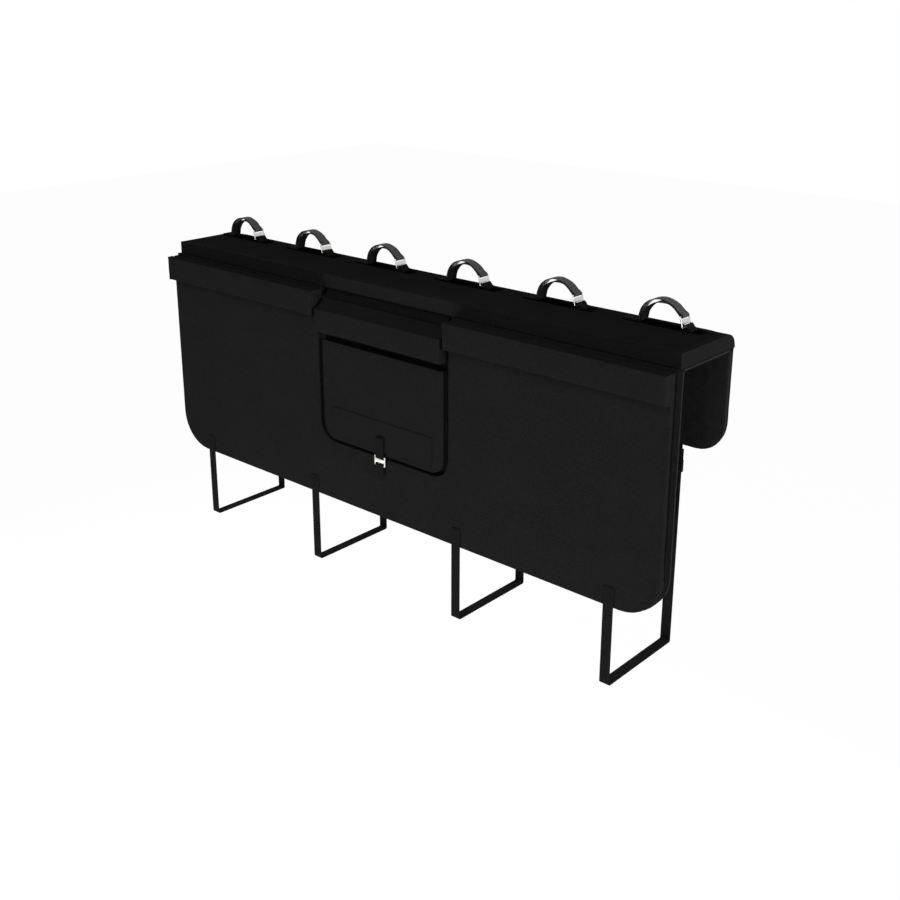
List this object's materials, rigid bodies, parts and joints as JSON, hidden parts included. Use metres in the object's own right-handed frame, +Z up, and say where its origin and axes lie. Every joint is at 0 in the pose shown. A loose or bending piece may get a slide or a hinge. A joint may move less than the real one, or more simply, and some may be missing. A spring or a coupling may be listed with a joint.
{
  "type": "tailgate bike pad",
  "caption": "Padded fabric cover that hangs over a pickup's tailgate, with webbing loops for bicycle down tubes, a flap over the handle and straps that pass under the tailgate.",
  "frame": {"origin": "middle of the lining's underside, the face that lies on the tailgate's upper edge", "axes": "+X along the tailgate, +Y from the tailgate's outer face towards the load bed, +Z up"},
  "size_m": [1.524, 0.2569, 0.7966],
  "materials": {
    "cover_fabric": "matte coated weave",
    "lining_felt": "soft brushed felt",
    "webbing": "ribbed webbing",
    "hook_tape": "pile of small hooks and loops",
    "slide_steel": "bright nickel",
    "buckle_plastic": "moulded"
  },
  "bodies": {
    "root": {"top_pad": "cover_fabric", "back_pad": "cover_fabric", "lining_top": "lining_felt", "lining_back": "lining_felt", "lining_front": "lining_felt", "front_inner_pad": "cover_fabric", "front_outer_pad": "cover_fabric", "bumper_left": "cover_fabric", "bumper_right": "cover_fabric", "flap_backing": "cover_fabric", "flap_door": "cover_fabric", "flap_bumper": "cover_fabric", "flap_patch": "cover_fabric", "flap_strap": "webbing", "flap_keeper": "webbing", "flap_slide": "slide_steel", "loop_base_1": "hook_tape", "loop_base_2": "hook_tape", "loop_base_3": "hook_tape", "loop_base_4": "hook_tape", "loop_base_5": "hook_tape", "loop_base_6": "hook_tape", "bike_loop_1": "webbing", "bike_loop_2": "webbing", "bike_loop_3": "webbing", "bike_loop_4": "webbing", "bike_loop_5": "webbing", "bike_loop_6": "webbing", "slide_keeper_1": "webbing", "slide_keeper_2": "webbing", "slide_keeper_3": "webbing", "slide_keeper_4": "webbing", "slide_keeper_5": "webbing", "slide_keeper_6": "webbing", "loop_slide_1": "slide_steel", "loop_slide_2": "slide_steel", "loop_slide_3": "slide_steel", "loop_slide_4": "slide_steel", "loop_slide_5": "slide_steel", "loop_slide_6": "slide_steel", "under_loop_1": "webbing", "under_loop_2": "webbing", "under_loop_3": "webbing", "under_loop_4": "webbing", "rear_tab_1": "webbing", "rear_tab_2": "webbing", "rear_tab_3": "webbing", "rear_tab_4": "webbing", "tail_buckle_1": "buckle_plastic", "tail_buckle_2": "buckle_plastic", "tail_buckle_3": "buckle_plastic", "tail_buckle_4": "buckle_plastic"}
  },
  "joints": []
}
